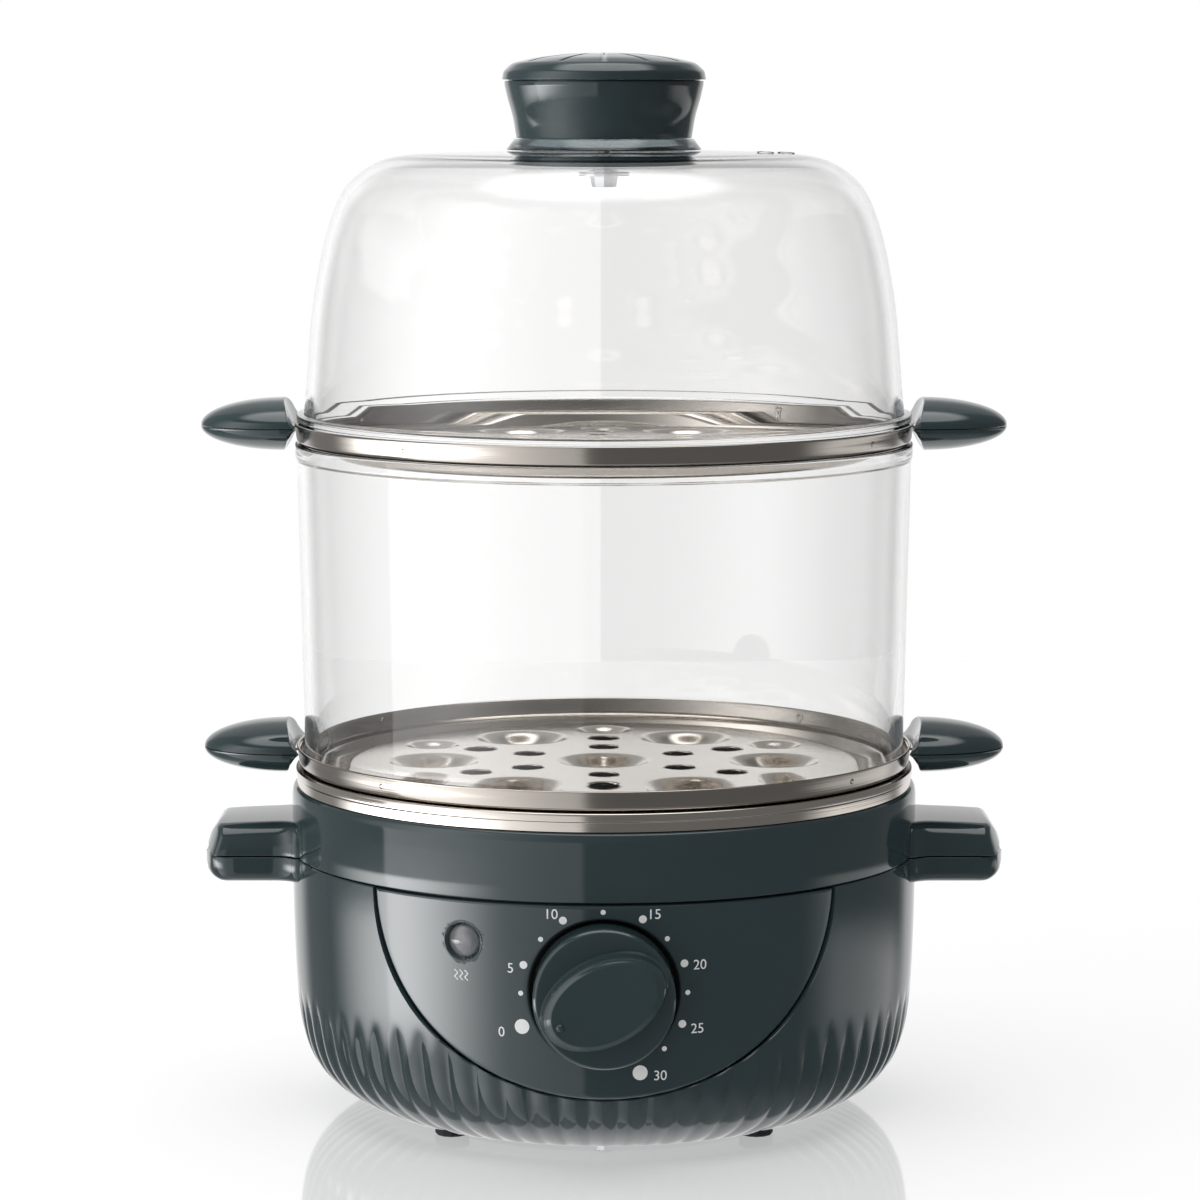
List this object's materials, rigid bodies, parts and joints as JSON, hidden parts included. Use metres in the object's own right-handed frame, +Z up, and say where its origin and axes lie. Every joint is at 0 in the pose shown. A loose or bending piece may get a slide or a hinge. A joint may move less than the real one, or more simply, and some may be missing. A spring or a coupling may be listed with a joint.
{
  "type": "egg cooker",
  "caption": "Electric egg cooker with a timer dial on a plastic base, a steel heating plate, stacked egg trays, a clear wall and a clear lid with a knob.",
  "frame": {"origin": "on the pot's axis, at the height that the feet stand on", "axes": "+Z up, the side grips along X, the dial facing -Y"},
  "size_m": [0.2226, 0.199, 0.292],
  "materials": {
    "slate_plastic": "glossy",
    "stainless_steel": "satin, brushed round",
    "clear_plastic": "clear",
    "lamp_glass": "clear",
    "rubber": "matte",
    "silicone": "matte",
    "zinc_steel": "zinc plated",
    "cream_plastic": "moulded",
    "black_plastic": "moulded",
    "brass": "plain",
    "red_insulation": "smooth",
    "blue_insulation": "smooth"
  },
  "bodies": {
    "base": {"lower_housing": "slate_plastic", "upper_ring": "slate_plastic", "control_panel": "slate_plastic", "bottom_cover": "slate_plastic", "foot_1": "rubber", "foot_2": "rubber", "foot_3": "rubber", "foot_4": "rubber", "housing_screw_1": "zinc_steel", "housing_screw_2": "zinc_steel", "housing_screw_3": "zinc_steel", "housing_screw_4": "zinc_steel", "cover_screw_1": "zinc_steel", "cover_screw_2": "zinc_steel", "cover_screw_3": "zinc_steel", "heating_plate": "stainless_steel", "plate_seal": "silicone", "heater_element": "zinc_steel", "heater_bracket": "zinc_steel", "bracket_nut": "zinc_steel", "thermostat": "black_plastic", "thermal_fuse": "brass", "timer_plate": "zinc_steel", "timer_case": "cream_plastic", "timer_bell": "zinc_steel", "timer_screw_left": "zinc_steel", "timer_screw_right": "zinc_steel", "lamp_lens": "clear_plastic", "neon_lamp": "lamp_glass", "terminal_block": "cream_plastic", "cord_gland": "rubber", "wire_live": "red_insulation", "wire_neutral": "blue_insulation", "wire_switched": "red_insulation", "wire_heater": "red_insulation"},
    "dial": {"timer_dial": "slate_plastic", "timer_shaft": "zinc_steel"},
    "lower_tray": {"lower_tray": "stainless_steel", "lower_tray_grip_left_top": "slate_plastic", "lower_tray_grip_left_bottom": "slate_plastic", "lower_tray_grip_right_top": "slate_plastic", "lower_tray_grip_right_bottom": "slate_plastic", "lower_tray_screw_left": "zinc_steel", "lower_tray_screw_right": "zinc_steel"},
    "tier": {"tier_wall": "clear_plastic"},
    "upper_tray": {"upper_tray": "stainless_steel", "upper_tray_grip_left_top": "slate_plastic", "upper_tray_grip_left_bottom": "slate_plastic", "upper_tray_grip_right_top": "slate_plastic", "upper_tray_grip_right_bottom": "slate_plastic", "upper_tray_screw_left": "zinc_steel", "upper_tray_screw_right": "zinc_steel"},
    "lid": {"lid_dome": "clear_plastic", "knob_seat": "clear_plastic", "knob_body": "slate_plastic", "knob_cap": "slate_plastic", "knob_washer": "zinc_steel", "knob_screw": "zinc_steel"}
  },
  "joints": [
    {"name": "dial_turn", "type": "hinge", "parent": "base", "child": "dial", "pos_m": [0, -0.0805, 0.048], "axis": [0, 1, 0], "range_deg": [0, 269]},
    {"name": "lower_tray_lift", "type": "slide", "parent": "base", "child": "lower_tray", "axis": [0, 0, 1], "range_m": [0, 0.12]},
    {"name": "tier_lift", "type": "slide", "parent": "lower_tray", "child": "tier", "axis": [0, 0, 1], "range_m": [0, 0.12]},
    {"name": "upper_tray_lift", "type": "slide", "parent": "tier", "child": "upper_tray", "axis": [0, 0, 1], "range_m": [0, 0.12]},
    {"name": "lid_lift", "type": "slide", "parent": "upper_tray", "child": "lid", "axis": [0, 0, 1], "range_m": [0, 0.12]}
  ]
}
